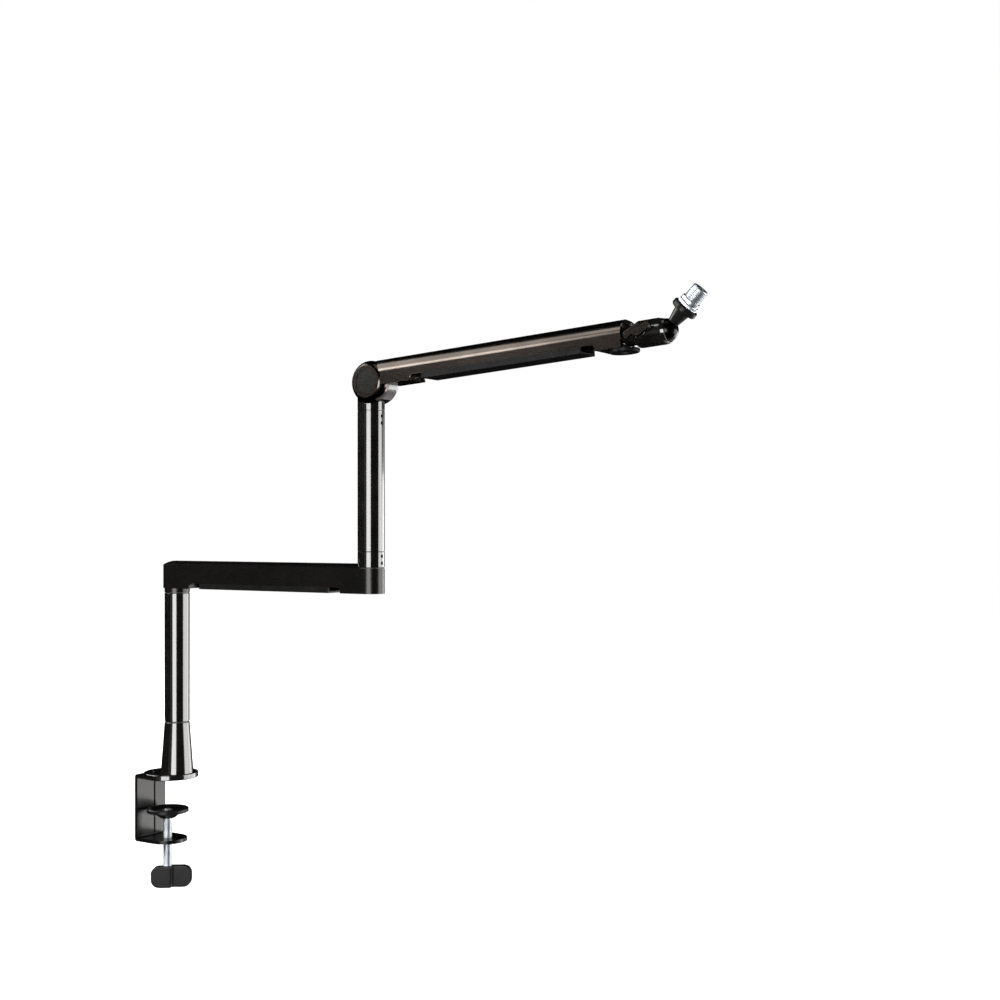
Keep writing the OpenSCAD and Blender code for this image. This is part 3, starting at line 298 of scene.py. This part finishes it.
def turned(profile, place, segments=72, caps=(True, True), radius_at=None):
    """Points and faces of a turned piece. profile rows are (z, r) in mm; radius_at can vary r by angle."""
    verts, faces = [], []
    for z, r in profile:
        for k in range(segments):
            a = 2 * math.pi * k / segments
            rr = radius_at(z, r, a) if radius_at else r
            verts.append(place @ Vector((rr * math.cos(a) * MM, rr * math.sin(a) * MM, z * MM)))
    for row in range(len(profile) - 1):
        for k in range(segments):
            n = (k + 1) % segments
            here, above = row * segments, (row + 1) * segments
            faces.append((here + k, here + n, above + n, above + k))
    if caps[0]:
        faces.append(tuple(reversed(range(segments))))
    if caps[1]:
        last = (len(profile) - 1) * segments
        faces.append(tuple(range(last, last + segments)))
    return verts, faces


def thread(r, pitch, depth, z0, z1, place, segments=40, lead=0.8, inner=0.0):
    """Points and faces of a right-hand thread from z0 to z1 in mm, with bevelled ends.

    Each turn has six rows: two on the root, one up each flank and two on the crest. inner is a bore's radius.
    """
    shape = (0.0, 0.0, 0.55, 1.0, 1.0, 0.55)
    rows = int((z1 - z0) / pitch * 6) + 12
    verts, faces = [], []
    for k in range(segments):
        turn = k / segments
        for n in range(rows):
            z = min(max(z0 + (n / 6 + turn - 1) * pitch, z0), z1)
            height = r - depth + depth * shape[n % 6]
            edge = min(z - z0, z1 - z)
            height = min(height, r - depth + depth * edge / lead) if edge < lead else height
            height = max(height, r - depth)
            a = 2 * math.pi * turn
            verts.append(place @ Vector((height * math.cos(a) * MM, height * math.sin(a) * MM, z * MM)))
    for k in range(segments):
        n2 = (k + 1) % segments
        shift = 6 if n2 == 0 else 0
        for n in range(rows - 1):
            a, b = k * rows + n, k * rows + n + 1
            c, d = n2 * rows + n + 1 + shift, n2 * rows + n + shift
            if c < (n2 + 1) * rows:
                faces.append((a, d, c, b))
    bottom = [k * rows for k in range(segments)]
    top = [k * rows + rows - 1 for k in range(segments)]
    if inner:
        for ring_of, z in ((bottom, z0), (top, z1)):
            base = len(verts)
            for k in range(segments):
                a = 2 * math.pi * k / segments
                verts.append(place @ Vector((inner * math.cos(a) * MM, inner * math.sin(a) * MM, z * MM)))
            for k in range(segments):
                n = (k + 1) % segments
                faces.append((ring_of[k], ring_of[n], base + n, base + k))
    else:
        faces.append(tuple(reversed(bottom)))
        faces.append(tuple(top))
    return verts, faces


def joined(*parts):
    """Several (points, faces) as one."""
    verts, faces = [], []
    for v, f in parts:
        base = len(verts)
        verts += v
        faces += [tuple(i + base for i in face) for face in f]
    return verts, faces


def copy_of(node, name):
    """A copy of a CAD node, in its place."""
    obj = bpy.data.objects.new(name, nodes[node].data.copy())
    bpy.context.collection.objects.link(obj)
    obj.matrix_world = nodes[node].matrix_world
    return obj


def take_over(obj, node, body, slot, smooth):
    """Applies a copy's modifiers and puts it in the place of its CAD node."""
    depsgraph = bpy.context.evaluated_depsgraph_get()
    result = bpy.data.meshes.new_from_object(obj.evaluated_get(depsgraph))
    obj.modifiers.clear()
    obj.data = result
    result.materials.clear()
    result.materials.append(FINISH[slot])
    shade(obj, smooth)
    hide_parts(node)
    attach(obj, body)


def moulded(name, node, body, slot, voxel, rounds, smooth=55):
    """A copy of a CAD node with its edges rounded as a casting's or moulding's are."""
    obj = copy_of(node, name)
    remesh = obj.modifiers.new("skin", "REMESH")
    remesh.mode = "VOXEL"
    remesh.voxel_size = voxel * MM
    soften = obj.modifiers.new("rounding", "SMOOTH")
    soften.factor = 0.5
    soften.iterations = rounds
    take_over(obj, node, body, slot, smooth)


def bevelled(name, node, body, slot, width):
    """A copy of a CAD node with a small chamfer on its sharp edges."""
    obj = copy_of(node, name)
    merge = obj.modifiers.new("weld", "WELD")
    merge.merge_threshold = 0.005 * MM
    flats = obj.modifiers.new("flats", "DECIMATE")
    flats.decimate_type = "DISSOLVE"
    flats.angle_limit = math.radians(1)
    chamfer = obj.modifiers.new("chamfer", "BEVEL")
    chamfer.width = width * MM
    chamfer.segments = 2
    chamfer.limit_method = "ANGLE"
    chamfer.angle_limit = math.radians(30)
    take_over(obj, node, body, slot, 20)


def make_clamp_screw():
    low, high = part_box("clamp_screw")
    cx = (low[0] + high[0]) / 2
    place = frame_from((cx, 0, 0), (0, 0, 1))
    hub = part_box("pressure_pad")[0][2] / MM
    core = turned([(hub - 0.2, 3.48), (high[2] / MM - 0.4, 3.48), (high[2] / MM, 3.1)], place, 40)
    verts, faces = joined(thread(5.0, 1.5, 0.3, low[2] / MM, hub, place), core)
    obj = make_object("clamp_screw_threaded", "bright_zinc", verts, faces, CRISP)
    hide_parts("clamp_screw")
    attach(obj, "clamp_spindle")


def make_thread_adapter():
    """Two rings, one knurled and one plain with a narrow groove between them, and a 5/8 inch thread of 27
    turns to the inch.
    """
    mount = mounts["mic_thread"]
    axis = Vector(mount["axis"])
    length = mount["dims"]["length_mm"]
    r = mount["dims"]["r_mm"]
    foot = Vector(mount["pos_m"])
    place = frame_from(foot, axis)
    bore = 4.8
    ring = 3.5

    def knurl(z, rr, a):
        if rr < 9.0 or not (-2 * ring + 0.5 < z < -ring - 0.5):
            return rr
        return rr - 0.22 * abs(((a * 54 / math.pi) % 2) - 1)

    rows = [(-2 * ring, bore), (-2 * ring, 9.7), (-2 * ring + 0.4, 10.0), (-2 * ring + 0.6, 10.0),
            (-ring - 0.6, 10.0), (-ring - 0.4, 10.0), (-ring, 9.7), (-ring, 8.4), (-ring + 0.5, 8.4),
            (-ring + 0.5, 9.1), (-ring + 0.8, 9.4), (-0.3, 9.4), (0, 9.1), (0, r - 0.4)]
    rings = turned(rows, place, 216, (False, False), knurl)
    helix = thread(r, 25.4 / 27, 0.5, 0.0, length, place, 60, 0.7, bore)
    verts, faces = joined(rings, helix)
    obj = make_object("thread_adapter_knurled", "bright_zinc", verts, faces, CRISP)
    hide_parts("thread_adapter")
    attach(obj, "stud")


make_clamp_screw()
make_thread_adapter()
moulded("clamp_knob_moulded", "clamp_knob", "clamp_spindle", "black_plastic", 0.45, 8)
bevelled("wing_lever_bevelled", "wing_lever", "lever", "arm_brown_black", 0.45)
moulded("head_near_cast", "head_shell_near", "head", "gloss_black", 0.3, 4, 45)
moulded("head_far_cast", "head_shell_far", "head", "gloss_black", 0.3, 4, 45)


# Studio: a white backdrop and a pale floor. Soft panels draw the bright bands on the tubes, and black cards
# between them keep the lacquer black.

def make_world():
    """White to the eye and in reflections, and dim where it lights the object."""
    world = bpy.data.worlds.new("studio")
    bpy.context.scene.world = world
    world.use_nodes = True
    tree = world.node_tree
    tree.nodes.clear()
    room = add(tree, "ShaderNodeBackground", Color=(1, 1, 1, 1), Strength=0.3)
    seen = add(tree, "ShaderNodeBackground", Color=(1, 1, 1, 1), Strength=1.0)
    mix = add(tree, "ShaderNodeMixShader", Fac=seen_or_mirrored(tree))
    tree.links.new(room.outputs["Background"], mix.inputs[1])
    tree.links.new(seen.outputs["Background"], mix.inputs[2])
    add(tree, "ShaderNodeOutputWorld", Surface=mix.outputs["Shader"])


def seen_or_mirrored(tree):
    """1 for what the eye sees directly, in a reflection or through glass, and 0 for light on the object."""
    path = add(tree, "ShaderNodeLightPath")
    mirrored = add(tree, "ShaderNodeMath")
    mirrored.operation = "MAXIMUM"
    tree.links.new(path.outputs["Is Glossy Ray"], mirrored.inputs[0])
    tree.links.new(path.outputs["Is Transmission Ray"], mirrored.inputs[1])
    either = add(tree, "ShaderNodeMath")
    either.operation = "MAXIMUM"
    tree.links.new(path.outputs["Is Camera Ray"], either.inputs[0])
    tree.links.new(mirrored.outputs["Value"], either.inputs[1])
    return either.outputs["Value"]


# The clamp screw turns down by less than this, so the knob stays above the floor.
FLOOR_GAP = 30


def make_floor():
    low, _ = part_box("clamp_knob")
    mesh = bpy.data.meshes.new("floor")
    r = 6.0
    z = low[2] - FLOOR_GAP * MM
    mesh.from_pydata([(-r, -r, z), (r, -r, z), (r, r, z), (-r, r, z)], [], [(0, 1, 2, 3)])
    floor = bpy.data.objects.new("floor", mesh)
    bpy.context.collection.objects.link(floor)
    material, tree, shader = new_material("pale_floor")
    shader.inputs["Base Color"].default_value = (0.85, 0.85, 0.85, 1)
    shader.inputs["Roughness"].default_value = 0.9
    shader.inputs["Specular IOR Level"].default_value = 0.0
    # Painted light: the floor's glow rises from 0.6 within half a metre of the origin to 1 beyond two metres.
    # This makes up for the lamps' fall-off so that the far floor turns as white as the backdrop, while the
    # dimmer glow near the object leaves its shadow visible.
    away = add(tree, "ShaderNodeVectorMath", Vector=object_point(tree))
    away.operation = "LENGTH"
    glow = add(tree, "ShaderNodeMapRange", Value=away.outputs["Value"])
    for name, value in (("From Min", 0.5), ("From Max", 2.0), ("To Min", 0.6), ("To Max", 1.0)):
        glow.inputs[name].default_value = value
    shown = add(tree, "ShaderNodeMath")
    shown.operation = "MULTIPLY"
    tree.links.new(glow.outputs["Result"], shown.inputs[0])
    tree.links.new(seen_or_mirrored(tree), shown.inputs[1])
    tree.links.new(shown.outputs["Value"], shader.inputs["Emission Strength"])
    shader.inputs["Emission Color"].default_value = (1, 1, 1, 1)
    # From below the floor is clear, so that it doesn't hide the underside of the arm.
    under = add(tree, "ShaderNodeNewGeometry")
    clear = add(tree, "ShaderNodeBsdfTransparent")
    sides = add(tree, "ShaderNodeMixShader", Fac=under.outputs["Backfacing"])
    tree.links.new(shader.outputs["BSDF"], sides.inputs[1])
    tree.links.new(clear.outputs["BSDF"], sides.inputs[2])
    tree.links.new(sides.outputs["Shader"], tree.nodes["Material Output"].inputs["Surface"])
    mesh.materials.append(material)
    floor.visible_glossy = False
    floor.visible_shadow = False


CENTRE = Vector((0.3, 0.0, 0.25))
CAMERA_AZIMUTH = 32.75


def around(azimuth, elevation, distance):
    """A place round the object. Azimuth 0 is towards the camera and grows to the camera's right."""
    angle = math.radians(-90 + CAMERA_AZIMUTH + azimuth)
    e = math.radians(elevation)
    level = math.cos(e)
    return CENTRE + distance * Vector((level * math.cos(angle), level * math.sin(angle), math.sin(e)))


def panel(name, azimuths, elevations, radiance, distance=3.0):
    """A soft panel of light."""
    middle = sum(azimuths) / 2, sum(elevations) / 2
    data = bpy.data.lights.new(name, "AREA")
    data.shape = "RECTANGLE"
    data.size = (2 * distance * math.cos(math.radians(middle[1]))
                 * math.tan(math.radians(azimuths[1] - azimuths[0]) / 2))
    data.size_y = 2 * distance * math.tan(math.radians(elevations[1] - elevations[0]) / 2)
    data.energy = radiance * math.pi * data.size * data.size_y
    light = bpy.data.objects.new(name, data)
    bpy.context.collection.objects.link(light)
    light.location = around(*middle, distance)
    light.rotation_euler = (CENTRE - light.location).to_track_quat("-Z", "Y").to_euler()
    light.visible_camera = False


def card(name, azimuths, elevations, distance=3.8):
    """A curved black card behind the panels. Only reflections see it."""
    across, up = 24, 16
    verts = []
    for j in range(up + 1):
        e = elevations[0] + (elevations[1] - elevations[0]) * j / up
        verts += [around(azimuths[0] + (azimuths[1] - azimuths[0]) * i / across, e, distance)
                  for i in range(across + 1)]
    row = across + 1
    faces = [(j * row + i, j * row + i + 1, (j + 1) * row + i + 1, (j + 1) * row + i)
             for j in range(up) for i in range(across)]
    mesh = bpy.data.meshes.new(name)
    mesh.from_pydata(verts, [], faces)
    material, _, shader = new_material("black_card")
    shader.inputs["Base Color"].default_value = linear("0a0a0a")
    shader.inputs["Roughness"].default_value = 1.0
    shader.inputs["Specular IOR Level"].default_value = 0.0
    mesh.materials.append(material)
    obj = bpy.data.objects.new(name, mesh)
    bpy.context.collection.objects.link(obj)
    obj.visible_camera = False
    obj.visible_diffuse = False
    obj.visible_transmission = False
    obj.visible_shadow = False


make_world()
make_floor()
panel("left_front_panel", (-35, 0), (-16, 10), 13.0)
panel("left_dim_panel", (-60, -36), (-16, 12), 0.2)
panel("left_band_panel", (-125, -62), (17, 29), 17.0)
panel("left_high_panel", (-125, -62), (29, 53), 4.7)
panel("right_panel", (70, 104), (-16, 10), 9.0)
panel("right_back_panel", (110, 140), (-16, 4), 6.0)
panel("right_low_panel", (99, 114), (-28, -16), 13.0)
panel("overhead_panel", (-40, 40), (62, 88), 1.0)
card("left_and_front_card", (-206, 104), (-90, 58))
card("right_back_card", (98, 158), (7, 60))
card("ceiling_card", (-180, 180), (58, 90))
